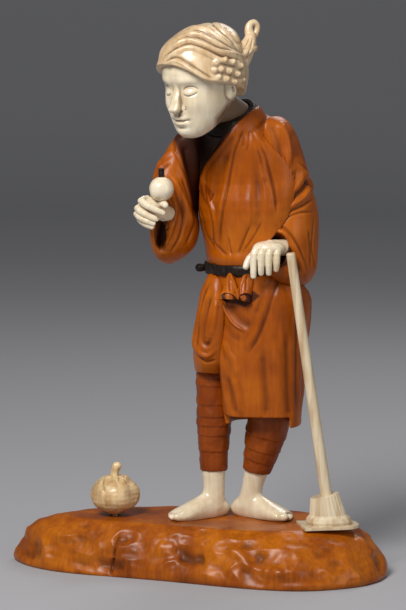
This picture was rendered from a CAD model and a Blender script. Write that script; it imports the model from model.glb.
# %% [markdown]
# A carved okimono: a farmer of polished boxwood, with head, hands, feet and hoe of ivory.
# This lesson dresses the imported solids. Each one is copied, turned into an even skin of small
# faces, and then carved with strokes, the way the carver works over a roughed-out block.

# %% Load the frame
import math
import bmesh
import bpy
import numpy as np
from mathutils import Matrix, Vector, noise


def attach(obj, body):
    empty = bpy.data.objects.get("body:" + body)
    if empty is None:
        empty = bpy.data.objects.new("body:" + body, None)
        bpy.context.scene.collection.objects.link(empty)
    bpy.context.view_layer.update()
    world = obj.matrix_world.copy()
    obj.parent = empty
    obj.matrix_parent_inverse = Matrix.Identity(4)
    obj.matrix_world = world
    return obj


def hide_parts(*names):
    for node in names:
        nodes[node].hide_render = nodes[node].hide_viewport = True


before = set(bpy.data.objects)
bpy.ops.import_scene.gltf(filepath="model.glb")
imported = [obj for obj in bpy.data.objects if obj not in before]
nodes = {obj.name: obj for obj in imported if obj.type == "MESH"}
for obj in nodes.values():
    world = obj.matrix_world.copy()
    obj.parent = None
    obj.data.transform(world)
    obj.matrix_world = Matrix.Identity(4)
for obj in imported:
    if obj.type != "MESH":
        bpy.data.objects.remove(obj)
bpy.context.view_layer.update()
MM = 0.001
scene = bpy.context.scene


def shown(name, data):
    """A new object that is linked into the scene."""
    made = bpy.data.objects.new(name, data)
    scene.collection.objects.link(made)
    return made


# %% [markdown]
# The camera comes first, because every fold is judged from it. The photograph looks down on the
# figure by six and a half degrees from about one and a half metres, with a long lens.

# %% Camera
LENS = 177.05
SENSOR = 36.0
CAMERA_PLACE = (1.5, -1497.9, 305.8)
CAMERA_AIM = (1.5, -7.5, 136.0)
camera_data = bpy.data.cameras.new("camera")
camera_data.lens = LENS
camera_data.sensor_width = SENSOR
camera_data.sensor_fit = "AUTO"
camera_data.clip_end = 20.0
camera = shown("camera", camera_data)
camera_place = Vector(CAMERA_PLACE) * MM
camera_aim = Vector(CAMERA_AIM) * MM
camera.location = camera_place
camera.rotation_euler = (camera_aim - camera_place).to_track_quat("-Z", "Y").to_euler()
scene.camera = camera
print("camera at", tuple(round(v, 3) for v in camera_place))

# %% [markdown]
# Shader graphs are easier to read as sums. A small class wraps a socket, so that `grain * 0.4 +
# stain` adds the Math nodes by itself, and `node` makes any other node in one line.


# %% Shader helper
class Wire:
    """A shader socket that can be added and multiplied like a number."""

    def __init__(self, tree, socket):
        self.tree = tree
        self.socket = socket

    def math(self, operation, other):
        made = self.tree.nodes.new("ShaderNodeMath")
        made.operation = operation
        self.tree.links.new(self.socket, made.inputs[0])
        plug(self.tree, made.inputs[1], other)
        return Wire(self.tree, made.outputs[0])

    def __add__(self, other):
        return self.math("ADD", other)

    def __mul__(self, other):
        return self.math("MULTIPLY", other)


class Graph:
    """One material's node tree, with its Principled shader."""

    def __init__(self, name):
        self.material = bpy.data.materials.new(name)
        self.material.use_nodes = True
        self.tree = self.material.node_tree
        self.shader = self.tree.nodes["Principled BSDF"]
        self.place = self.node("ShaderNodeTexCoord", out="Object")

    def node(self, kind, settings=None, out=0, **sockets):
        """Any node: its settings first, then values or wires for its sockets by name."""
        made = self.tree.nodes.new(kind)
        for key, value in (settings or {}).items():
            if key == "stops":
                fill_ramp(made.color_ramp, value)
            else:
                setattr(made, key, value)
        for key, value in sockets.items():
            wanted = made.inputs[int(key[1:])] if key[1:].isdigit() else made.inputs[key.replace("_", " ")]
            plug(self.tree, wanted, value)
        return Wire(self.tree, made.outputs[out])

    def ramp(self, wire, *stops):
        return self.node("ShaderNodeValToRGB", {"stops": stops}, Fac=wire)

    def stretch(self, scale, turn=(0.0, 0.0, 0.0)):
        """Object coordinates with another scale along each axis."""
        return self.node("ShaderNodeMapping", Vector=self.place, Scale=scale, Rotation=turn)

    def noise(self, place, scale, detail=4.0, rough=0.55, twist=0.0):
        return self.node(
            "ShaderNodeTexNoise", Vector=place, Scale=scale, Detail=detail, Roughness=rough, Distortion=twist
        )

    def blend(self, factor, first, second):
        """Two colours mixed. Colours are four numbers or wires."""
        return self.node("ShaderNodeMix", {"data_type": "RGBA"}, out=2, i0=factor, i6=first, i7=second)

    def bump(self, height, distance, strength=1.0, under=None):
        sockets = {"Height": height, "Distance": distance, "Strength": strength}
        if under is not None:
            sockets["Normal"] = under
        return self.node("ShaderNodeBump", **sockets)

    def set(self, **sockets):
        for key, value in sockets.items():
            plug(self.tree, self.shader.inputs[key.replace("_", " ")], value)


def plug(tree, wanted, value):
    """Gives a socket a wire or a plain value."""
    if isinstance(value, Wire):
        tree.links.new(value.socket, wanted)
    else:
        wanted.default_value = value


def fill_ramp(ramp, stops):
    """Gives a colour ramp its stops, each a place and a colour."""
    while len(ramp.elements) > 1:
        ramp.elements.remove(ramp.elements[-1])
    ramp.elements[0].position, ramp.elements[0].color = stops[0][0], stops[0][1]
    for place, colour in stops[1:]:
        ramp.elements.new(place).color = colour


def linear(red, green, blue):
    """A colour picked on a screen, as the light values that a shader wants."""
    shares = [value / 255 for value in (red, green, blue)]
    lights = [v / 12.92 if v < 11 / 255 else ((v + 0.055) / 1.055) ** 2.4 for v in shares]
    return (*lights, 1.0)


print("orange wood in light values", [round(v, 3) for v in linear(190, 100, 30)])

# %% [markdown]
# Boxwood that has been stained and rubbed for years is a warm orange brown. It is darkest where
# polish and dirt stay in the cuts, and palest on the rubbed tops. The carving steps below store
# how deep each point was cut in an attribute called "cut", and the wood reads it for its stain.


# %% Wood
def wood(name, pale, middle, dark, rough=0.37, grain=1.0):
    g = Graph(name)
    fibre = g.noise(g.stretch((520.0, 520.0, 42.0), (0.25, 0.2, 0.0)), 1.0, 5.0, 0.6, 0.4)
    cloud = g.noise(g.place, 34.0, 3.0)
    patch = g.noise(g.stretch((1.0, 1.0, 0.55)), 85.0, 4.0, 0.6)
    cut = g.node("ShaderNodeAttribute", {"attribute_name": "cut"}, out=2)
    tone = cloud * 0.55 + patch * 0.25 + fibre * (0.2 * grain)
    base = g.ramp(tone, (0.30, dark), (0.50, middle), (0.68, pale))
    stain = g.ramp(cut, (0.0, (0, 0, 0, 1)), (1.0, (1, 1, 1, 1)))
    deep = tuple(v * 0.22 for v in dark[:3]) + (1.0,)
    g.set(Base_Color=g.blend(stain, base, deep))
    g.set(Roughness=patch * 0.16 + cut * 0.22 + (rough - 0.08))
    fine = g.bump(fibre, 0.00012, 0.35)
    tools = g.noise(g.stretch((1.0, 1.0, 0.5)), 240.0, 2.0)
    g.set(Normal=g.bump(tools, 0.0003, 0.22, fine), Coat_Weight=0.07, Coat_Roughness=0.25)
    g.set(Specular_IOR_Level=0.22)
    return g.material


boxwood = wood("boxwood", linear(188, 102, 12), linear(160, 78, 4), linear(116, 48, 2))
ground_wood = wood("boxwood_ground", linear(186, 104, 12), linear(144, 70, 6), linear(80, 32, 4), 0.34, 1.3)
legging_wood = wood("boxwood_leggings", linear(160, 78, 10), linear(128, 56, 4), linear(84, 32, 2), 0.38)
print("woods", boxwood.name, ground_wood.name, legging_wood.name)

# %% [markdown]
# Ivory is never plain white. Faint streaks run along the tusk, the grain crosses them, and
# a warm brown gathers in every cut. A little light goes in and comes out again, so the shader
# gets some subsurface.


# %% Ivory
def ivory(name, pale, warm, dirt, rough=0.26, streak=1.0, turn=(0.0, 0.0, 0.0)):
    g = Graph(name)
    lines = g.noise(g.stretch((300.0, 300.0, 16.0), turn), 1.0, 4.0, 0.55, 0.3)
    cloud = g.noise(g.place, 45.0, 4.0, 0.6)
    cut = g.node("ShaderNodeAttribute", {"attribute_name": "cut"}, out=2)
    tone = cloud * (1.0 - 0.45 * streak) + lines * (0.45 * streak)
    base = g.ramp(tone, (0.34, warm), (0.58, pale))
    g.set(Base_Color=g.blend(g.ramp(cut, (0.02, (0, 0, 0, 1)), (0.9, (0.9, 0.9, 0.9, 1))), base, dirt))
    g.set(Roughness=cloud * 0.18 + cut * 0.25 + (rough - 0.09))
    g.set(Normal=g.bump(lines, 0.0001, 0.25), Coat_Weight=0.25, Coat_Roughness=0.15)
    g.set(Subsurface_Weight=0.12, Subsurface_Radius=(0.004, 0.0022, 0.0012), Subsurface_Scale=0.6)
    return g.material


skin_ivory = ivory("ivory_skin", linear(230, 218, 194), linear(206, 186, 150), linear(96, 62, 32))
cloth_ivory = ivory(
    "ivory_cloth", linear(220, 196, 160), linear(186, 150, 104), linear(92, 60, 32), 0.34, 1.3, (0.5, 0.5, 0)
)
hoe_ivory = ivory(
    "ivory_hoe", linear(218, 202, 172), linear(178, 148, 108), linear(96, 66, 36), 0.38, 1.7, (0, -0.15, 0)
)
turnip_ivory = ivory("ivory_turnip", linear(222, 196, 150), linear(172, 130, 78), linear(92, 58, 26), 0.34)
print("ivories", skin_ivory.name, cloth_ivory.name, hoe_ivory.name, turnip_ivory.name)

# %% [markdown]
# The sash, the collar and the turnip's stalk are wood stained nearly black.


# %% Stained wood
def stained():
    g = Graph("stained_wood")
    fibre = g.noise(g.stretch((420.0, 420.0, 60.0)), 1.0, 4.0)
    cloud = g.noise(g.place, 60.0, 3.0)
    base = g.ramp(cloud * 0.6 + fibre * 0.4, (0.35, linear(16, 10, 6)), (0.65, linear(40, 24, 14)))
    g.set(Base_Color=base, Roughness=cloud * 0.25 + 0.36, Normal=g.bump(fibre, 0.00015, 0.5))
    g.set(Coat_Weight=0.08, Coat_Roughness=0.3, Specular_IOR_Level=0.25)
    return g.material


black_wood = stained()
print("stained wood", black_wood.name)

# %% [markdown]
# Carving needs a skin of small even faces. A voxel remesh gives one from any closed solid, and
# a few rounds of smoothing take out its steps. The copy is merged first, because a packed
# solid is a set of loose triangles.


# %% Skin of even faces
# For each node the width of a face in millimetres, and the rounds of smoothing.
SKINS = {
    "ground": (0.75, 4), "robe_torso": (0.5, 6), "left_sleeve": (0.48, 5),
    "right_sleeve": (0.48, 5), "robe_skirt": (0.5, 4), "breeches": (0.42, 5),
    "hem_tucks": (0.26, 3), "head": (0.34, 14), "headcloth": (0.36, 5), "inner_collar": (0.2, 2),
    "held_turnip_stalk": (0.18, 2), "held_turnip": (0.25, 4), "ground_turnip": (0.32, 5),
    "right_leg": (0.36, 3), "left_leg": (0.36, 3), "right_foot": (0.22, 3), "left_foot": (0.22, 3),
    "right_hand": (0.2, 5), "left_hand": (0.2, 5), "sash": (0.3, 3), "sash_end": (0.3, 3),
    "collar": (0.3, 3), "lapel": (0.3, 3), "headcloth_end": (0.2, 6),
}
MERGE = 1e-6


def skin(source, extra=None):
    """One closed piece over a CAD node, with even faces. An extra form can be joined to it."""
    name = source + "_carved"
    shell = bmesh.new()
    shell.from_mesh(nodes[source].data)
    bmesh.ops.remove_doubles(shell, verts=shell.verts, dist=MERGE)
    mesh = bpy.data.meshes.new(name)
    if extra is not None:
        more = bpy.data.meshes.new(name + "_more")
        extra.to_mesh(more)
        extra.free()
        shell.from_mesh(more)
    shell.to_mesh(mesh)
    shell.free()
    mesh.materials.clear()
    return cover(source, mesh)


def cover(source, mesh):
    """Puts a mesh in the place of a CAD node, once it has even faces."""
    piece = shown(mesh.name, mesh)
    even_out(piece, *SKINS[source])
    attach(piece, "carving")
    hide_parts(source)
    return piece


def even_out(piece, voxel, smooth):
    """Remeshes a piece to even faces, smooths it and keeps the result."""
    remesh = piece.modifiers.new("even", "REMESH")
    remesh.mode = "VOXEL"
    remesh.voxel_size = voxel * MM
    remesh.use_smooth_shade = True
    smoother = piece.modifiers.new("smooth", "SMOOTH")
    smoother.factor = 0.5
    smoother.iterations = smooth
    evaluated = piece.evaluated_get(bpy.context.evaluated_depsgraph_get())
    mesh = bpy.data.meshes.new_from_object(evaluated)
    piece.modifiers.clear()
    piece.data = mesh
    mesh.name = piece.name
    print(piece.name, "has", len(mesh.polygons), "faces")


def points_of(piece):
    """A piece's points in millimetres and its unit normals, as arrays."""
    mesh = piece.data
    places = np.empty(len(mesh.vertices) * 3)
    mesh.vertices.foreach_get("co", places)
    normals = np.empty(len(mesh.vertices) * 3)
    mesh.vertex_normals.foreach_get("vector", normals)
    return places.reshape(-1, 3) / MM, normals.reshape(-1, 3)


def put_points(piece, places):
    piece.data.vertices.foreach_set("co", (places * MM).ravel())
    piece.data.update()


def stain(piece, amount):
    """Adds to the stored depth of cut, which the materials darken."""
    mesh = piece.data
    layer = mesh.attributes.get("cut") or mesh.attributes.new("cut", "FLOAT", "POINT")
    stored = np.empty(len(mesh.vertices))
    layer.data.foreach_get("value", stored)
    layer.data.foreach_set("value", np.clip(stored + amount, 0.0, 1.0))


print("carving helpers ready")


# %% [markdown]
# A carving stroke is a line of points seen from one side. Every point of the skin that faces
# that side moves along its normal, by an amount that depends on its distance from the line. A
# groove and a crease go in, and a ridge comes out. A view says where points fall as seen from
# that side, and how far they face it.


# %% Views
# Millimetres to a pixel, the picture's middle, and pixels for each unit of slope from the lens.
PIXEL = 0.5
PICTURE_MIDDLE = (203, 305)
PIXELS_PER_SLOPE = 3000


def from_side(azimuth, turn=None):
    """A level view from an azimuth, in the frame or in a local one: millimetres across and up."""
    angle = math.radians(azimuth)

    def view(places, normals):
        if turn is not None:
            inverse = np.array(turn.inverted().to_3x3())
            places = (places - np.array(turn.translation)) @ inverse.T
            normals = normals @ inverse.T
        across = places[:, 0] * math.cos(angle) + places[:, 1] * math.sin(angle)
        toward = normals[:, 0] * math.sin(angle) - normals[:, 1] * math.cos(angle)
        return np.stack([across, places[:, 2]], 1), toward

    return view


def from_camera(places, normals):
    """The photograph's view: its pixels, scaled so that the unit is a millimetre again."""
    way = np.array((camera_aim - camera_place).normalized())
    right = np.array([1.0, 0.0, 0.0])
    up = np.cross(right, way)
    gap = places - np.array(camera_place) / MM
    distance = gap @ way
    across = PICTURE_MIDDLE[0] + PIXELS_PER_SLOPE * (gap @ right) / distance
    down = PICTURE_MIDDLE[1] - PIXELS_PER_SLOPE * (gap @ up) / distance
    return np.stack([across, down], 1) * PIXEL, normals @ -way



# %% Strokes
def smooth_line(line, steps=10):
    """A smooth run of points through a stroke's own points."""
    line = [Vector(p) for p in line]
    padded = [line[0] * 2 - line[1]] + line + [line[-1] * 2 - line[-2]]
    run = []
    for a, b, c, d in zip(padded, padded[1:], padded[2:], padded[3:]):
        for step in range(steps):
            t = step / steps
            bend = (a * 2 - b * 5 + c * 4 - d) * t**2 + (b * 3 - a - c * 3 + d) * t**3
            run.append((b * 2 + (c - a) * t + bend) / 2)
    run.append(line[-1])
    return np.array(run)


def nearest(places, run):
    """Distance to a run of points, and how far along it, for each place."""
    best = np.full(len(places), 1e9)
    along = np.zeros(len(places))
    for i in range(len(run) - 1):
        a, way = run[i], run[i + 1] - run[i]
        t = np.clip(((places - a) @ way) / max(float(way @ way), 1e-9), 0.0, 1.0)
        gap = places - (a + t[:, None] * way)
        distance = np.hypot(gap[:, 0], gap[:, 1])
        closer = distance < best
        best[closer] = distance[closer]
        along[closer] = (i + t[closer]) / (len(run) - 1)
    return best, along


SHAPES = {
    "groove": lambda d: -((1 - d**2) ** 2),
    "crease": lambda d: -((1 - d) ** 1.6),
    "ridge": lambda d: (1 - d**2) ** 2,
}
STAIN_DEPTH = 0.16


def carve(piece, view, strokes, least=0.05):
    """Carves strokes: shape, the line's points in the view, half width and depth."""
    places, normals = points_of(piece)
    flat, toward = view(places, normals)
    seen = np.clip((toward - least) / 0.3, 0.0, 1.0)
    moved = np.zeros(len(places))
    dark = np.zeros(len(places))
    for shape, line, width, depth in strokes:
        run = smooth_line(line)
        low, high = run.min(0) - width, run.max(0) + width
        where = np.nonzero(np.all((flat > low) & (flat < high), axis=1) & (seen > 0))[0]
        if len(where) == 0:
            continue
        distance, along = nearest(flat[where], run)
        inside = distance < width
        where, distance, along = where[inside], distance[inside] / width, along[inside]
        taper = np.clip(np.minimum(along, 1 - along) * 6 + 0.1, 0.0, 1.0)
        change = SHAPES[shape](distance) * depth * taper * seen[where]
        moved[where] += change
        dark[where] = np.maximum(dark[where], np.clip(-change, 0, None) * STAIN_DEPTH)
    put_points(piece, places + normals * moved[:, None])
    stain(piece, dark)


def carve_front(piece, strokes, least=0.05):
    """Carves strokes whose points are pixels of the photograph."""
    scaled = [(shape, [(u * PIXEL, v * PIXEL) for u, v in line], width, depth)
              for shape, line, width, depth in strokes]
    carve(piece, from_camera, scaled, least)


def swell(piece, view, spots, least=0.0):
    """Raises or sinks soft round areas: across, up, two half widths and amount."""
    places, normals = points_of(piece)
    flat, toward = view(places, normals)
    seen = np.clip((toward - least) / 0.4, 0.0, 1.0)
    moved = np.zeros(len(places))
    for across, up, wide, tall, amount in spots:
        reach = ((flat[:, 0] - across) / wide) ** 2 + ((flat[:, 1] - up) / tall) ** 2
        moved += amount * np.exp(-reach)
    put_points(piece, places + normals * (moved * seen)[:, None])


def swell_at(piece, spots):
    """Raises or sinks a piece near places in the frame: x, y, z, reach and amount."""
    places, normals = points_of(piece)
    moved = np.zeros(len(places))
    for x, y, z, reach, amount in spots:
        gap = np.linalg.norm(places - np.array((x, y, z)), axis=1)
        moved += amount * np.exp(-((gap / reach) ** 2))
    put_points(piece, places + normals * moved[:, None])


def inside_outline(flat, outline, soft):
    """One inside a closed outline and nought outside, fading over a soft width."""
    inside = np.zeros(len(flat), dtype=bool)
    best = np.full(len(flat), 1e9)
    for (x0, y0), (x1, y1) in zip(outline, outline[1:] + outline[:1]):
        crosses = (y0 > flat[:, 1]) != (y1 > flat[:, 1])
        reach = x0 + (flat[:, 1] - y0) * (x1 - x0) / ((y1 - y0) or 1e-9)
        inside ^= crosses & (flat[:, 0] < reach)
        best = np.minimum(best, nearest(flat, np.array([(x0, y0), (x1, y1)], dtype=float))[0])
    return np.clip(0.5 + np.where(inside, best, -best) / soft, 0.0, 1.0)


def darken(piece, outline, amount, soft=1.0):
    """Stains the part of a piece inside an outline given in pixels."""
    places, normals = points_of(piece)
    flat, toward = from_camera(places, normals)
    area = inside_outline(flat, [(u * PIXEL, v * PIXEL) for u, v in outline], soft)
    stain(piece, area * np.clip(toward / 0.2, 0.0, 1.0) * amount)


def relaxed(piece, rounds):
    """Where the points come to rest when each moves to the middle of its neighbours."""
    mesh = piece.data
    pairs = np.empty(len(mesh.edges) * 2, dtype=np.int32)
    mesh.edges.foreach_get("vertices", pairs)
    first, second = pairs.reshape(-1, 2).T
    soft = points_of(piece)[0]
    count = np.bincount(pairs, minlength=len(soft))
    for _ in range(rounds):
        total = np.zeros_like(soft)
        for axis in range(3):
            total[:, axis] += np.bincount(first, soft[second, axis], len(soft))
            total[:, axis] += np.bincount(second, soft[first, axis], len(soft))
        soft = total / count[:, None]
    return soft


def soften(piece, middle, reach, rounds):
    """Smooths a piece near one place and leaves the rest sharp."""
    places = points_of(piece)[0]
    gap = np.linalg.norm((places - np.array(middle)) / np.array(reach), axis=1)
    share = np.clip(2.0 - 2.0 * gap, 0.0, 1.0)[:, None]
    put_points(piece, places + (relaxed(piece, rounds) - places) * share)


def settle(piece, reach, depth, strength=0.5):
    """Old polish gathers wherever the surface lies below its own smoothed form."""
    places, normals = points_of(piece)
    soft = relaxed(piece, reach)
    below = np.einsum("ij,ij->i", soft - places, normals)
    stain(piece, np.clip(below / depth - 0.1, 0.0, 1.0) * strength)


def crumple(piece, size, height, seed, levels=3):
    """Uneven hand work all over: points move along their normals by smooth noise."""
    places, normals = points_of(piece)
    shift = Vector((seed * 13.7, seed * 7.1, seed * 3.3))
    moved = [noise.fractal(Vector(place) / size + shift, 1.0, 2.0, levels) for place in places]
    put_points(piece, places + normals * (np.array(moved) * height)[:, None])


def dress(piece, material):
    """Gives a piece its material and says which of the record's finishes that is."""
    piece.data.materials.clear()
    piece.data.materials.append(material)


print("strokes:", sorted(SHAPES))

# %% [markdown]
# The ground is a mound worked over with a gouge and rubbed smooth again: soft lumps, wider than
# they are tall, with the crack that runs down its front.

# %% Ground
ground = skin("ground")


def lumps(piece, wide, tall, depth, seed):
    """Soft hollows with a firmer crest between them, except underneath and on top."""
    places, normals = points_of(piece)
    moved = np.zeros(len(places))
    for i, (x, y, z) in enumerate(places):
        if z > 1.0 and normals[i, 2] > -0.5:
            spot = Vector((x / wide + seed, y / wide, z / tall))
            moved[i] = 0.2 - 1.3 * abs(noise.noise(spot)) + 0.7 * noise.noise(spot * 0.7 + Vector((5, 5, 5)))
    fade = np.clip((places[:, 2] - 1.0) / 4.0, 0.0, 1.0)
    level = np.clip((normals[:, 2] - 0.85) / 0.12, 0.0, 1.0)
    moved *= depth * fade * (1 - 0.8 * level)
    put_points(piece, places + normals * moved[:, None])


lumps(ground, 15.0, 9.5, 1.9, 3.0)
lumps(ground, 7.5, 5.0, 0.5, 9.0)
carve_front(ground, [
    ("crease", [(120, 536), (115, 548), (113, 562), (110, 578)], 1.0, 1.8),
    ("ridge", [(158, 544), (166, 549), (176, 547)], 5.0, 1.0),
    ("groove", [(178, 556), (192, 560), (206, 558)], 5.0, 1.2),
    ("ridge", [(228, 548), (240, 556), (252, 570)], 4.0, 1.2),
    ("ridge", [(262, 570), (272, 573), (284, 571)], 4.0, 1.0),
    ("groove", [(240, 542), (256, 552), (264, 562)], 4.5, 1.0),
    ("groove", [(66, 540), (82, 536), (100, 540)], 5.0, 1.0),
])
settle(ground, 30, 0.5, 0.45)
dress(ground, ground_wood)

# %% [markdown]
# The robe is cut so thinly in its folds that it reads as cloth. Its left front crosses over the
# right one in a broad band with a raised edge. Long creases run down from the shoulder, and
# the cloth hangs a little over the sash.

# %% Upper robe
def finish_robe(piece):
    """Old polish in the folds, and the boxwood that all of the robe is made of."""
    settle(piece, 24, 0.35)
    dress(piece, boxwood)


def band_over_collar():
    """The lower right part of the collar, cut off by a plane and swollen, so that it covers it."""
    band = bmesh.new()
    band.from_mesh(nodes["collar"].data)
    bmesh.ops.remove_doubles(band, verts=band.verts, dist=MERGE)
    whole = band.verts[:] + band.edges[:] + band.faces[:]
    place, way = Vector((19.5, -10.0, 227.0)) * MM, Vector((0.66, -0.0855, -0.75))
    bmesh.ops.bisect_plane(band, geom=whole, dist=1e-7, plane_co=place, plane_no=way, clear_inner=True)
    bmesh.ops.holes_fill(band, edges=[e for e in band.edges if e.is_boundary])
    bmesh.ops.triangulate(band, faces=band.faces[:])
    band.normal_update()
    for vert in band.verts:
        vert.co += vert.normal * 0.9 * MM
    shoulder = Matrix.Translation(Vector((31, 0, 222.5)) * MM) @ Matrix.Diagonal(Vector((13, 12, 8.2, 1)))
    bmesh.ops.create_uvsphere(band, u_segments=32, v_segments=20, radius=MM, matrix=shoulder)
    return band


robe = skin("robe_torso", extra=band_over_collar())
soften(robe, (34.0, 0.0, 226.0), (16.0, 16.0, 9.0), 90)
soften(robe, (4.5, -30.0, 196.0), (7.0, 9.0, 8.0), 60)
crumple(robe, 22.0, 0.35, 1, 2)
carve_front(robe, [
    ("ridge", [(250, 128), (252, 150), (249, 185), (246, 215), (243, 240)], 5.0, 0.8),
    ("groove", [(256, 150), (257, 180), (258, 210), (256, 235)], 4.0, 0.7),
    ("ridge", [(262, 170), (266, 195), (268, 220)], 3.5, 0.6),
    ("ridge", [(242, 128), (236, 146), (231, 162), (227, 180), (222, 202), (218, 226), (216, 250)], 2.4, 0.7),
    ("crease", [(247, 124), (239, 141), (234, 155), (230.5, 172), (227, 190), (223, 208), (220.5, 228),
                (219, 250)], 1.3, 1.1),
    ("ridge", [(234, 131), (225, 143), (215, 155), (207, 166), (203, 178), (207, 196), (212, 212),
               (215, 230)], 1.7, 1.0),
    ("groove", [(231, 150), (223, 165), (217, 182), (215, 200), (214, 220)], 3.0, 0.6),
    ("crease", [(204, 182), (208, 200), (211, 216), (213, 236), (213, 250)], 1.2, 0.8),
    ("crease", [(249, 131), (249, 142), (246, 153)], 0.9, 0.6),
    ("crease", [(244, 136), (243, 147)], 0.8, 0.5),
    ("crease", [(260, 143), (265, 156), (269, 170), (273, 185), (276, 200), (277, 214)], 1.6, 1.4),
    ("crease", [(257, 147), (261, 161), (264, 175), (267, 188)], 1.0, 0.7),
    ("ridge", [(254, 128), (259, 138), (264, 150), (270, 168)], 2.2, 0.8),
    ("ridge", [(206, 254), (222, 258), (240, 260), (256, 258)], 4.2, 0.9),
    ("crease", [(251, 224), (244, 240), (238, 254)], 1.3, 0.8),
    ("crease", [(210, 238), (219, 248), (228, 256)], 1.2, 0.7),
    ("crease", [(262, 222), (253, 238), (243, 252)], 1.0, 0.6),
    ("crease", [(200, 218), (206, 234), (214, 248)], 1.1, 0.8),
    ("crease", [(228, 236), (230, 247), (232, 256)], 0.9, 0.5),
    ("crease", [(195, 195), (200, 212), (205, 228)], 1.1, 0.8),
])
darken(robe, [
    (170, 118), (236, 118), (232, 131), (222, 143), (213, 154), (205, 165), (201, 177),
    (194, 172), (180, 140),
], 1.0)
carve(robe, from_side(180), [
    ("crease", [(-34, 222), (-32, 200), (-28, 180), (-27, 160)], 1.6, 1.0),
    ("crease", [(-22, 226), (-22, 205), (-24, 180), (-25, 160)], 1.4, 0.8),
    ("ridge", [(-28, 224), (-27, 200), (-26, 170)], 3.5, 0.8),
    ("crease", [(-12, 222), (-16, 200), (-20, 178), (-22, 160)], 1.4, 0.8),
    ("crease", [(-40, 215), (-38, 195), (-33, 172), (-30, 160)], 1.2, 0.7),
])
finish_robe(robe)

# %% [markdown]
# The sleeves hang like bags. Their folds fan out from the bend of the elbow, and the cuff has
# a thin raised rim round a dark opening.

# %% Sleeves
left_sleeve = skin("left_sleeve")
crumple(left_sleeve, 18.0, 0.35, 2, 2)
carve_front(left_sleeve, [
    ("ridge", [(279, 122), (286, 134), (289, 150), (289, 168)], 2.4, 1.1),
    ("groove", [(270, 122), (276, 136), (280, 155), (281, 175)], 3.2, 0.9),
    ("groove", [(292, 130), (297, 146), (298, 160)], 3.0, 0.6),
    ("ridge", [(299, 160), (304, 172), (299, 183), (289, 195), (280, 206)], 2.8, 0.9),
    ("groove", [(311, 176), (303, 189), (291, 199), (280, 208)], 2.0, 1.3),
    ("ridge", [(312, 187), (303, 198), (291, 206), (281, 212)], 1.9, 1.0),
    ("crease", [(314, 198), (303, 206), (291, 211), (281, 213)], 1.3, 1.0),
    ("crease", [(297, 170), (291, 184), (283, 194), (277, 202)], 1.3, 1.0),
    ("crease", [(289, 168), (285, 180), (279, 192)], 1.1, 0.7),
    ("crease", [(314, 212), (300, 213), (287, 218), (277, 226)], 1.1, 0.7),
    ("ridge", [(264, 236), (272, 231), (282, 232), (290, 239), (297, 251), (303, 266), (308, 281)], 1.6, 1.1),
    ("crease", [(264, 231), (273, 226.5), (283, 227.5), (292, 235), (299, 247), (306, 262)], 1.1, 0.8),
    ("groove", [(288, 248), (294, 260), (300, 274)], 2.6, 1.2),
    ("crease", [(309, 230), (311, 248), (311, 268)], 1.2, 0.8),
])
carve(left_sleeve, from_side(90), [
    ("crease", [(-16, 208), (-6, 200), (6, 196)], 1.5, 1.1),
    ("crease", [(-14, 200), (-4, 192), (8, 186)], 1.5, 1.0),
    ("ridge", [(-14, 204), (-4, 196), (8, 191)], 2.0, 0.9),
    ("crease", [(4, 222), (6, 206), (2, 190), (-2, 172)], 1.4, 0.9),
    ("crease", [(-8, 220), (-4, 205), (-6, 190)], 1.3, 0.8),
    ("crease", [(6, 178), (4, 165), (0, 152)], 1.3, 0.8),
    ("crease", [(-10, 180), (-12, 166), (-10, 154)], 1.3, 0.8),
])
carve(left_sleeve, from_side(180), [
    ("crease", [(-40, 220), (-46, 200), (-50, 180), (-50, 160)], 1.5, 1.0),
    ("crease", [(-36, 205), (-42, 188), (-44, 168)], 1.4, 0.9),
    ("ridge", [(-38, 214), (-44, 195), (-47, 172)], 2.4, 0.9),
    ("crease", [(-54, 196), (-46, 190), (-38, 188)], 1.2, 0.7),
])
darken(left_sleeve, [
    (262, 240), (274, 236), (284, 238), (291, 248), (296, 262), (280, 268), (262, 262),
], 0.9, 1.4)
finish_robe(left_sleeve)

right_sleeve = skin("right_sleeve")
soften(right_sleeve, (-12.0, -6.0, 212.0), (16.0, 16.0, 16.0), 60)
crumple(right_sleeve, 18.0, 0.35, 3, 2)
carve_front(right_sleeve, [
    ("ridge", [(171, 194), (175.5, 206), (174.5, 220), (169, 236), (161, 254)], 1.6, 1.0),
    ("groove", [(162, 200), (167, 214), (165, 230), (159, 248)], 3.2, 2.2),
    ("crease", [(180, 192), (184, 214), (180, 236), (170, 254)], 1.3, 1.0),
    ("ridge", [(173, 176), (180, 192), (188, 210), (193, 226)], 2.2, 1.1),
    ("crease", [(168, 176), (176, 194), (182, 210), (185, 226)], 1.3, 0.9),
    ("crease", [(182, 178), (188, 194), (194, 210)], 1.2, 0.9),
    ("crease", [(172, 140), (178, 158), (186, 174), (192, 190)], 1.4, 0.6),
    ("crease", [(196, 205), (194, 225), (186, 246)], 1.4, 0.9),
    ("ridge", [(158, 158), (160, 170), (164, 184)], 1.8, 0.6),
    ("crease", [(154, 205), (154, 224), (157, 244)], 1.0, 0.6),
])
carve_front(right_sleeve, [("groove", [(184, 136), (191, 165), (197, 190), (201, 222)], 4.5, 2.6)], -0.4)
darken(right_sleeve, [
    (166, 126), (208, 126), (210, 236), (200, 230), (193, 206), (187, 180), (181, 158),
], 1.0, 3.0)
darken(right_sleeve, [(155, 204), (166, 200), (170, 212), (166, 232), (159, 248), (155, 236)], 0.9, 1.4)
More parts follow.
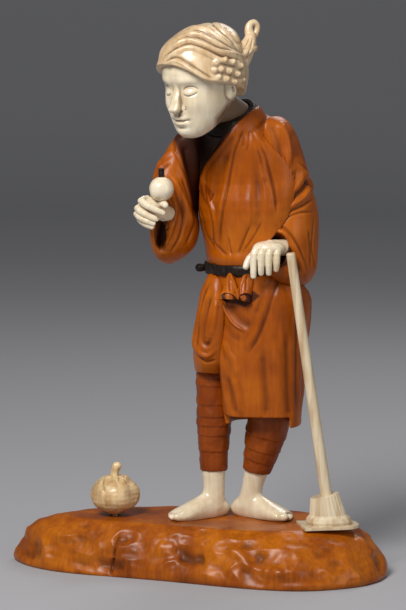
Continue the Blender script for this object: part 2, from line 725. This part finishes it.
carve(right_sleeve, from_side(-90), [
    ("crease", [(14, 215), (10, 200), (12, 180), (8, 164)], 1.4, 1.0),
    ("crease", [(2, 218), (0, 200), (4, 182), (2, 166)], 1.4, 0.9),
    ("crease", [(-8, 210), (-6, 196), (-2, 184)], 1.3, 0.9),
    ("ridge", [(8, 216), (5, 198), (8, 178)], 2.4, 0.9),
    ("crease", [(16, 190), (4, 184), (-6, 186)], 1.2, 0.7),
])
carve(right_sleeve, from_side(180), [
    ("crease", [(4, 216), (10, 196), (14, 176), (14, 162)], 1.4, 1.0),
    ("crease", [(14, 210), (18, 190), (20, 172)], 1.3, 0.9),
    ("ridge", [(8, 214), (14, 194), (17, 172)], 2.2, 0.8),
])
finish_robe(right_sleeve)

# %% [markdown]
# Below the sash the robe falls straight, with one deep curved fold where its hem is pulled up.
# The bloused trouser leg beside it carries a long oval fold.

# %% Skirt and breeches
skirt = skin("robe_skirt")
crumple(skirt, 24.0, 0.4, 4, 2)
carve_front(skirt, [
    ("ridge", [(219, 300), (217, 320), (219, 345), (223, 370), (226, 395), (230, 418)], 2.0, 0.9),
    ("ridge", [(221, 298), (226, 312), (234, 324), (246, 332)], 1.2, 1.0),
    ("groove", [(229, 301), (234, 312), (243, 322), (252, 326)], 3.4, 0.8),
    ("groove", [(217, 306), (222, 320), (231, 334), (243, 342)], 3.0, 0.5),
    ("ridge", [(276, 270), (268, 290), (261, 312), (255, 332), (244, 350)], 2.6, 0.9),
    ("groove", [(270, 284), (263, 300), (256, 316)], 3.0, 0.6),
    ("crease", [(281, 276), (273, 296), (266, 318), (258, 338), (248, 354)], 1.8, 0.7),
    ("ridge", [(224, 340), (228, 352), (234, 362), (238, 378)], 2.4, 0.8),
    ("ridge", [(233, 378), (238, 396), (242, 416)], 2.4, 0.8),
    ("groove", [(226, 375), (231, 395), (236, 416)], 2.4, 0.7),
    ("groove", [(262, 350), (264, 372), (266, 398), (266, 418)], 3.5, 0.9),
    ("ridge", [(276, 340), (278, 370), (280, 418)], 3.0, 0.8),
    ("groove", [(287, 330), (288, 365), (289, 400), (290, 419)], 2.6, 1.0),
    ("crease", [(297, 300), (297, 335), (297, 370), (297, 420)], 1.5, 1.0),
    ("crease", [(303, 300), (303, 330), (301, 360)], 1.2, 0.9),
])
carve(skirt, from_side(90), [
    ("crease", [(-8, 150), (-6, 125), (-6, 100), (-7, 78)], 1.6, 1.1),
    ("crease", [(4, 148), (3, 120), (4, 78)], 1.6, 1.1),
    ("ridge", [(-2, 148), (-1, 115), (-1, 80)], 3.5, 0.9),
    ("crease", [(12, 145), (12, 118), (13, 78)], 1.4, 1.0),
])
carve(skirt, from_side(180), [
    ("crease", [(-44, 146), (-42, 120), (-41, 78)], 1.6, 1.2),
    ("crease", [(-34, 148), (-34, 120), (-33, 78)], 1.6, 1.2),
    ("ridge", [(-39, 147), (-38, 118), (-37, 78)], 3.4, 0.9),
    ("crease", [(-23, 148), (-25, 118), (-26, 78)], 1.6, 1.2),
    ("ridge", [(-29, 147), (-30, 118), (-30, 78)], 3.0, 0.8),
    ("crease", [(-10, 146), (-14, 118), (-17, 78)], 1.5, 1.0),
])
finish_robe(skirt)

breeches = skin("breeches")
crumple(breeches, 16.0, 0.4, 5, 2)
carve_front(breeches, [
    ("ridge", [(208, 278), (201, 296), (197, 320), (194, 338), (198, 351), (207, 356), (216, 350)], 1.8, 1.2),
    ("groove", [(212, 290), (206, 308), (202, 326), (202, 340), (207, 345), (213, 338)], 2.2, 1.4),
    ("crease", [(210, 296), (205, 315), (203, 334), (208, 341)], 1.0, 0.9),
    ("ridge", [(217, 300), (214, 320), (211, 336)], 2.0, 0.7),
    ("crease", [(198, 356), (206, 362), (216, 360)], 1.2, 0.9),
    ("crease", [(199, 284), (194, 302), (191, 322)], 1.2, 0.8),
])
carve(breeches, from_side(-90), [
    ("crease", [(10, 148), (8, 130), (9, 112)], 1.4, 0.9),
    ("crease", [(0, 148), (-2, 128), (0, 110)], 1.4, 0.9),
    ("crease", [(-10, 146), (-10, 128), (-6, 112)], 1.4, 0.9),
    ("ridge", [(5, 148), (3, 128), (4, 112)], 2.4, 0.8),
])
finish_robe(breeches)

# %% [markdown]
# The hem is tucked up behind the sash. Its two rolls end in open mouths, which are real hollows
# here: points inside an oval move back along the view, deepest in its middle.


# %% Tucks
def hollow(piece, ovals):
    """Sinks dark open mouths: a pixel, two half widths, tilt in degrees and depth."""
    places, normals = points_of(piece)
    flat, toward = from_camera(places, normals)
    way = np.array((camera_aim - camera_place).normalized())
    moved = np.zeros(len(places))
    dark = np.zeros(len(places))
    for u, v, wide, tall, tilt, depth in ovals:
        gap = flat - np.array([u, v]) * PIXEL
        turn = math.radians(tilt)
        across = gap[:, 0] * math.cos(turn) + gap[:, 1] * math.sin(turn)
        down = gap[:, 1] * math.cos(turn) - gap[:, 0] * math.sin(turn)
        reach = (across / (wide * PIXEL)) ** 2 + (down / (tall * PIXEL)) ** 2
        moved += depth * np.clip(1 - reach, 0.0, 1.0) ** 0.5 * (toward > 0.05)
        dark += np.clip((1.15 - reach) * 4, 0.0, 1.0) * (toward > 0.05)
    put_points(piece, places + way * moved[:, None])
    stain(piece, dark)


darken(skirt, [
    (219, 292), (238, 292), (254, 291), (260, 296), (252, 303), (245, 307), (236, 304), (226, 303),
], 0.95, 0.8)
tucks = skin("hem_tucks")
carve_front(tucks, [
    ("ridge", [(225, 276), (222, 286), (221, 297)], 1.2, 0.8),
    ("ridge", [(230, 274), (235, 285), (239, 299)], 1.1, 0.9),
    ("crease", [(227, 273), (229, 283), (230, 292)], 0.9, 0.8),
    ("ridge", [(246, 273), (241, 285), (239, 297)], 1.1, 0.8),
    ("ridge", [(249, 273), (252, 284), (253, 297)], 1.1, 0.9),
    ("crease", [(247.5, 272), (246, 282), (246, 291)], 0.9, 0.8),
    ("crease", [(240, 276), (239.5, 286), (239.5, 299)], 1.0, 1.2),
])
hollow(tucks, [(229.3, 298.2, 8.4, 4.6, 20, 1.5), (245.7, 299.2, 7.2, 6.0, -6, 1.5)])
settle(tucks, 16, 0.25)
dress(tucks, boxwood)

# %% [markdown]
# The leggings are bands of cloth wound round the calf. They get uneven, soft grooves.

# %% Leggings
for source in ("right_leg", "left_leg"):
    leg = skin(source)
    crumple(leg, 7.0, 0.45, 6)
    settle(leg, 14, 0.3, 0.7)
    dress(leg, legging_wood)

# %% [markdown]
# Bare feet of ivory: the shin runs into the instep without a step, so the skin is softened round
# the ankle. The toes are parted by cuts that are seen from above, in each foot's own measure:
# forward from the ankle, and sideways towards the big toe.


# %% Feet
def from_above(ankle, forward):
    """A view down on a foot: millimetres forward of the ankle and towards the big toe."""
    inward = (-forward[1] * math.copysign(1, forward[0]), forward[0] * math.copysign(1, forward[0]) * -1)

    def view(places, normals):
        gap = places[:, :2] - np.array(ankle)
        flat = np.stack([gap @ np.array(forward), gap @ np.array(inward)], 1)
        return flat, np.maximum(normals[:, 2], normals[:, :2] @ np.array(forward))

    return view


SPLAY = math.radians(31)
TOE_GAPS = ((2.9, 3.5), (0.1, 0.4), (-2.4, -2.5), (-4.6, -5.2))
TOES = ((4.6, 2.0), (1.5, 1.2), (-1.2, 1.1), (-3.6, 1.0), (-5.8, 0.9))
ANKLE_Y = 8.5
for name, ankle_x, way in (("right_foot", 7.0, -1), ("left_foot", 24.0, 1)):
    foot = skin(name)
    forward = (way * math.cos(SPLAY), -math.sin(SPLAY))
    above = from_above((ankle_x, ANKLE_Y), forward)
    instep = (ankle_x + 4.5 * forward[0], ANKLE_Y + 4.5 * forward[1], 38.0)
    soften(foot, instep, (13.0, 13.0, 9.0), 160)
    soften(foot, (ankle_x, ANKLE_Y, 31.0), (12.0, 12.0, 5.0), 60)
    carve(foot, above, [
        ("crease", [(19.5, a), (22.5, (a + b) / 2), (29.0, b)], 0.75, 1.3) for a, b in TOE_GAPS
    ] + [
        ("ridge", [(4.0, a * 0.35), (10.0, a * 0.6), (19.0, a)], 0.9, 0.35) for a, _ in TOES[:4]
    ])
    swell(foot, above, [(23.0, side, 1.6, size * 0.7, 0.35) for side, size in TOES])
    crumple(foot, 9.0, 0.12, 7)
    settle(foot, 14, 0.28, 0.6)
    dress(foot, skin_ivory)

# %% [markdown]
# The hands are small and worked. Dirt between the fingers does more for them than any line.

# %% Hands
for source in ("right_hand", "left_hand"):
    hand = skin(source)
    crumple(hand, 5.0, 0.14, 8)
    settle(hand, 12, 0.22, 0.85)
    dress(hand, skin_ivory)

# %% [markdown]
# The head keeps its place and tilt. Its face is a plain calm one, laid out by the rules of the
# drawing books: eyes on the half height, nose and mouth on even steps below. Soft pushes raise
# and sink the form, then fine strokes draw lids and lips.

# %% Head
def tilted(turn, nod, place):
    """A local frame: turned to the figure's right and nodded, in degrees, at a place."""
    made = Matrix.Rotation(math.radians(turn), 4, "Z") @ Matrix.Rotation(math.radians(nod), 4, "X")
    made.translation = Vector(place)
    return made


head_turn = tilted(-42, 12, (4.508, -18.398, 223.0))
head = skin("head")


def push(piece, turn, pushes):
    """Raises or sinks soft round areas of the face: across, up, two half widths and amount."""
    places, normals = points_of(piece)
    back = np.array(turn.inverted().to_3x3())
    local = (places - np.array(turn.translation)) @ back.T
    facing = np.clip(-(normals @ back.T)[:, 1] / 0.4, 0.0, 1.0) * (local[:, 1] < 2.0)
    moved = np.zeros(len(places))
    for across, up, wide, tall, amount in pushes:
        for side in ((-1, 1) if across else (1,)):
            reach = ((local[:, 0] - side * across) / wide) ** 2 + ((local[:, 2] - up) / tall) ** 2
            moved += amount * np.exp(-reach)
    forward = np.array(turn.to_3x3() @ Vector((0, -1, 0)))
    put_points(piece, places + forward * (moved * facing)[:, None])


push(head, head_turn, [
    (7.2, 25.6, 4.2, 2.9, -2.0), (7.4, 30.4, 5.0, 2.0, 0.8), (7.2, 24.7, 3.2, 2.0, 1.8),
    (0.0, 26.0, 2.6, 3.0, -1.5), (0.0, 18.5, 3.4, 4.4, -2.0), (2.4, 16.9, 1.7, 1.7, 0.8),
    (0.0, 17.4, 1.9, 1.5, 0.5), (9.4, 18.6, 5.2, 4.6, 1.7), (0.0, 12.0, 4.4, 1.0, 0.9),
    (0.0, 9.3, 3.4, 1.1, 1.2), (0.0, 7.0, 3.6, 1.0, -0.6), (0.0, 4.0, 4.2, 2.6, 0.9),
    (4.9, 11.0, 1.2, 1.2, -0.5),
])
# Lids, the wings of the nose and the nostrils come in pairs, so one side is written.
PAIRED = (
    ("crease", [(3.9, 24.2), (5.4, 23.2), (7.3, 22.9), (9.3, 23.4), (10.8, 24.6)], 0.9, 0.6),
    ("crease", [(3.9, 25.6), (5.6, 27.1), (7.4, 27.5), (9.4, 27.0), (11.2, 25.4)], 0.6, 0.45),
    ("crease", [(4.5, 18.2), (4.9, 17.0), (4.1, 15.7)], 0.8, 0.6),
    ("groove", [(1.2, 15.2), (1.9, 15.4), (2.6, 15.8)], 0.7, 0.5),
)
MIDDLE = [
    ("crease", [(-5.2, 11.1), (-2.4, 10.6), (-0.8, 10.8), (0, 10.6), (0.8, 10.8), (2.4, 10.6), (5.2, 11.1)],
     0.7, 0.9),
    ("groove", [(0, 14.9), (0, 13.9), (0, 12.9)], 0.9, 0.4),
]
carve(head, from_side(0, head_turn), [
    (shape, [(side * across, up) for across, up in line], width, depth)
    for shape, line, width, depth in PAIRED for side in (-1, 1)
] + MIDDLE)
for way in (-1, 1):
    ear = way * 0.8
    carve(head, from_side(way * 90, head_turn), [
        ("groove", [(ear - 1.2, 27.0), (ear + 1.4, 26.6), (ear + 2.0, 23.4), (ear, 19.4)], 0.8, 0.8),
        ("groove", [(ear - 1.2, 23.6), (ear + 0.2, 22.6), (ear - 0.4, 20.8)], 1.1, 1.0),
    ])
darken(head, [
    (216, 118), (226, 106), (234, 98), (242, 96), (252, 104), (252, 118), (232, 132), (214, 134),
], 1.0, 3.0)
settle(head, 10, 0.16, 0.6)
dress(head, skin_ivory)

# %% [markdown]
# The headcloth is wrapped in one broad band whose lower edge stands off the brow. Above the band
# the cloth is pulled to the knot in long folds, and a cluster of small tied rosettes sits on
# its side.

# %% Headcloth
cloth_turn = tilted(-42, -20, (0.554, -22.789, 250.80))
cloth = skin("headcloth")


def shape_cloth(piece, crown, brim, sag):
    """Raises the crown, turns the lower edge out and lets it sag in front, in millimetres."""
    places, normals = points_of(piece)
    back = np.array(cloth_turn.inverted().to_3x3())
    local = (places - np.array(cloth_turn.translation)) @ back.T
    low, high = local[:, 2].min(), local[:, 2].max()
    height = (local[:, 2] - low) / (high - low)
    lift = crown * np.clip((height - 0.35) / 0.6, 0.0, 1.0)
    flat, toward = from_camera(places, normals)
    front = np.clip(1.0 - places[:, 1] / 6.0 - 2.5, 0.0, 1.0)
    lift -= sag * np.exp(-(((flat[:, 0] - 104.5) / 12.0) ** 2)) * np.clip(1 - height / 0.45, 0.0, 1.0) * front
    radial = local * [1, 1, 0] / np.maximum(np.linalg.norm(local[:, :2], axis=1), 1e-6)[:, None]
    edge = np.clip(1 - (local[:, 2] - low) / 3.2, 0.0, 1.0) ** 1.5
    outer = np.clip((normals @ back.T * radial).sum(1) + 0.6, 0.0, 1.0)
    local = local + radial * (edge * outer * brim)[:, None]
    local[:, 2] += lift
    put_points(piece, local @ np.linalg.inv(back).T + np.array(cloth_turn.translation))
    print("headcloth height in millimetres", round(high - low, 1))


shape_cloth(cloth, 2.9, 1.7, 4.2)
swell_at(cloth, [
    (25.5, -13.0, 266.0, 9.0, -3.6), (24.0, -21.5, 265.0, 7.0, -3.2),
    (27.0, -14.0, 246.0, 8.0, 2.2), (-4.0, -30.0, 272.0, 7.0, 0.8),
])
crumple(cloth, 11.0, 0.55, 14, 2)
KNOT = (243, 54)
carve_front(cloth, [
    ("crease", [(163, 57), (175, 48), (189, 43), (205, 48), (222, 56), (241, 60)], 1.5, 1.5),
    ("ridge", [(163, 61), (176, 52), (190, 47), (206, 52), (222, 60), (240, 64)], 2.0, 0.9),
    ("crease", [(172, 44), (186, 36), (202, 38), (220, 47), KNOT], 1.3, 1.2),
    ("ridge", [(170, 48), (184, 40), (201, 43), (219, 51), KNOT], 1.8, 0.9),
    ("crease", [(182, 33), (198, 29), (213, 36), (229, 46), KNOT], 1.3, 1.2),
    ("ridge", [(178, 38), (194, 33), (210, 39), (226, 48), KNOT], 1.8, 0.9),
    ("crease", [(194, 25), (208, 27), (223, 37), KNOT], 1.2, 1.2),
    ("ridge", [(188, 29), (203, 27), (219, 37), (236, 48)], 1.6, 0.9),
    ("crease", [(210, 22), (219, 29), (231, 40), KNOT], 1.1, 1.1),
    ("ridge", [(215, 23), (224, 31), (235, 43)], 1.3, 0.7),
    ("crease", [(224, 26), (232, 34), (241, 46)], 1.0, 1.0),
    ("ridge", [(160, 67), (175, 61), (190, 69), (206, 79), (222, 88), (240, 96)], 1.3, 0.8),
    ("crease", [(163, 63), (176, 57), (190, 64), (206, 74), (214, 79)], 1.0, 0.7),
], -0.3)
ROSETTES = (
    (217, 62, 3.4), (225, 60, 3.1), (233, 62, 3.0), (241, 66, 2.8), (215, 70, 3.0), (222, 69, 3.2),
    (230, 71, 3.4), (238, 74, 3.0), (219, 77, 2.8), (227, 79, 3.2), (235, 82, 2.8), (243, 80, 2.6),
)
swell(cloth, from_camera, [(u * PIXEL, v * PIXEL, r * 0.4, r * 0.4, 1.6) for u, v, r in ROSETTES], -0.3)
swell(cloth, from_camera, [(u * PIXEL, v * PIXEL, r * 0.14, r * 0.14, -0.7) for u, v, r in ROSETTES], -0.3)
carve(cloth, from_side(180), [
    ("crease", [(-24, 266), (-12, 268), (0, 262), (10, 252)], 1.4, 1.2),
    ("crease", [(-24, 258), (-12, 260), (0, 254), (8, 244)], 1.4, 1.2),
    ("ridge", [(-24, 262), (-12, 264), (0, 258), (9, 248)], 1.8, 0.8),
])
settle(cloth, 10, 0.22, 0.75)
dress(cloth, cloth_ivory)

# %% [markdown]
# The end of the cloth is twisted into a short neck and curls over in a loop. Two curves with a
# swelling radius give the neck and the loop, and the voxel skin joins them.


# %% Knot of the headcloth
def strand(name, route):
    """A smooth tube along places with their own radius, all in millimetres."""
    curve = bpy.data.curves.new(name, "CURVE")
    curve.dimensions = "3D"
    curve.bevel_depth = MM
    curve.bevel_resolution = 6
    curve.use_fill_caps = True
    spline = curve.splines.new("NURBS")
    spline.points.add(len(route) - 1)
    for point, (x, y, z, radius) in zip(spline.points, route):
        point.co = (x * MM, y * MM, z * MM, 1.0)
        point.radius = radius
    spline.order_u = 3
    spline.use_endpoint_u = True
    holder = shown(name, curve)
    mesh = bpy.data.meshes.new_from_object(holder.evaluated_get(bpy.context.evaluated_depsgraph_get()))
    bpy.data.objects.remove(holder)
    return mesh


# Each row is a place in the frame and the radius there, in millimetres.
NECK = (
    (18.4, -18.0, 256.5, 5.4), (20.8, -18.0, 260.8, 5.2), (23.4, -17.0, 265.0, 4.2),
    (25.0, -15.4, 268.8, 3.1), (25.2, -14.0, 271.6, 2.4),
)
LOOP = (
    (25.0, -14.6, 269.0, 2.6), (23.9, -14.2, 272.4, 2.3), (24.2, -13.8, 275.6, 1.8),
    (26.4, -13.2, 277.2, 1.5), (28.4, -12.4, 275.6, 1.4), (28.2, -12.4, 272.6, 1.4),
    (26.9, -13.0, 270.2, 1.6),
)
WRAP = (
    (15.0, -23.5, 258.6, 1.8), (19.4, -24.0, 261.0, 2.0), (24.4, -21.6, 263.2, 1.9),
    (27.0, -16.0, 264.4, 1.7),
)
knot_shell = bmesh.new()
for strand_name, route in (("neck", NECK), ("loop", LOOP), ("wrap", WRAP)):
    knot_shell.from_mesh(strand(strand_name, route))
knot_mesh = bpy.data.meshes.new("headcloth_end_carved")
knot_shell.to_mesh(knot_mesh)
knot_shell.free()
cloth_end = cover("headcloth_end", knot_mesh)
carve_front(cloth_end, [
    ("crease", [(237, 60), (241, 52), (247, 44), (250, 36)], 0.9, 0.6),
    ("crease", [(245, 62), (249, 53), (252, 44), (253, 38)], 0.8, 0.6),
])
settle(cloth_end, 14, 0.4, 0.6)
dress(cloth_end, cloth_ivory)

# %% [markdown]
# The dark parts, the inner garment and the small turnip keep their plain forms, with a little
# unevenness.

# %% Small parts
for source in ("sash", "sash_end", "collar", "lapel"):
    part = skin(source)
    crumple(part, 5.0, 0.6 if source == "sash" else 0.25, 9)
    dress(part, black_wood)
inner = skin("inner_collar")
settle(inner, 10, 0.25)
dress(inner, legging_wood)
stalk = skin("held_turnip_stalk")
crumple(stalk, 2.0, 0.25, 12)
dress(stalk, black_wood)
bulb = skin("held_turnip")
crumple(bulb, 5.0, 0.15, 10)
dress(bulb, skin_ivory)

# %% [markdown]
# The turnip on the ground is lobed: its shoulders stand up round the stalk, and a cut side root
# shows on its front.

# %% Ground turnip
turnip = skin("ground_turnip")
swell(turnip, from_camera, [
    (49.0, 236.6, 3.6, 3.4, 1.7), (65.8, 236.6, 3.6, 3.4, 1.6), (46.6, 248.0, 3.6, 4.0, -1.6),
    (67.4, 248.0, 3.6, 4.0, -1.6), (62.6, 236.0, 1.8, 1.7, 1.4), (62.2, 239.4, 1.5, 1.9, 1.3),
    (64.2, 238.6, 1.0, 1.6, 0.9), (57.0, 232.6, 2.6, 2.4, 1.2),
])
carve_front(turnip, [
    ("crease", [(108, 467), (104, 474), (103, 484), (105, 494)], 1.6, 0.8),
    ("crease", [(119, 467), (119, 474), (118, 482)], 1.0, 0.8),
    ("crease", [(122, 473), (125, 480), (128, 484)], 0.7, 0.8),
    ("crease", [(110, 458), (112, 463), (111, 468)], 0.6, 0.5),
    ("crease", [(115, 456), (116, 462), (117, 468)], 0.6, 0.5),
])
crumple(turnip, 8.0, 0.4, 11)
settle(turnip, 16, 0.35, 0.6)
dress(turnip, turnip_ivory)

# %% [markdown]
# The hoe, the pegs and the dowels have their right shapes already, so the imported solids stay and
# only get their finish.

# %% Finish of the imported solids
kept_finish = {
    hoe_ivory: (
        "hoe_handle", "hoe_block", "hoe_blade", "hoe_peg", "right_foot_peg", "left_foot_peg", "turnip_peg",
    ),
    boxwood: ("waist_dowel", "right_shoulder_dowel", "left_shoulder_dowel"),
}
for material, names in kept_finish.items():
    for source in names:
        nodes[source].data.materials.clear()
        nodes[source].data.materials.append(material)
print("kept solids:", sum(len(names) for names in kept_finish.values()))

# %% [markdown]
# The stage is plain: a pale floor that curves up far behind, a soft lamp from the upper left in
# front, a weak one from the right, another behind for the edges, and a grey world.

# %% Stage and light
FLOOR_PROFILE = ((-2.4, 0), (2.2, 0), (2.6, 0.12), (2.9, 0.6), (3.0, 3.4))
FLOOR_WIDTH = 6.0
floor_shape = bmesh.new()
edge = [floor_shape.verts.new((-FLOOR_WIDTH / 2, y, z)) for y, z in FLOOR_PROFILE]
for a, b in zip(edge, edge[1:]):
    floor_shape.edges.new((a, b))
swept = bmesh.ops.extrude_edge_only(floor_shape, edges=floor_shape.edges[:])
far_edge = [v for v in swept["geom"] if isinstance(v, bmesh.types.BMVert)]
bmesh.ops.translate(floor_shape, vec=(FLOOR_WIDTH, 0, 0), verts=far_edge)
bmesh.ops.recalc_face_normals(floor_shape, faces=floor_shape.faces)
floor_mesh = bpy.data.meshes.new("floor")
floor_shape.to_mesh(floor_mesh)
floor_shape.free()
for face in floor_mesh.polygons:
    face.use_smooth = True
floor = shown("floor", floor_mesh)
floor_graph = Graph("floor")
floor_graph.set(Base_Color=linear(160, 160, 164), Roughness=0.85)
floor_mesh.materials.append(floor_graph.material)


def lamp(name, place, aim, size, power, colour):
    """A round soft lamp: place, aim and width in metres, power in watts."""
    data = bpy.data.lights.new(name, "AREA")
    data.shape = "DISK"
    data.size = size
    data.energy = power
    data.color = colour
    made = shown(name, data)
    made.location = place
    made.rotation_euler = (Vector(aim) - Vector(place)).to_track_quat("-Z", "Y").to_euler()


lamp("key", (-0.42, -0.82, 0.96), (0, 0, 0.14), 0.5, 16.5, (1.0, 0.97, 0.93))
lamp("fill", (0.9, -0.7, 0.5), (0, 0, 0.14), 0.6, 2.2, (1.0, 0.97, 0.94))
lamp("rim", (0.3, 0.7, 0.8), (0, 0, 0.15), 0.4, 2.0, (1.0, 1.0, 1.0))
world = bpy.data.worlds.new("world")
world.use_nodes = True
background = world.node_tree.nodes["Background"].inputs
background["Color"].default_value = (0.8, 0.82, 0.86, 1.0)
background["Strength"].default_value = 0.22
scene.world = world
scene.view_settings.view_transform = "Standard"
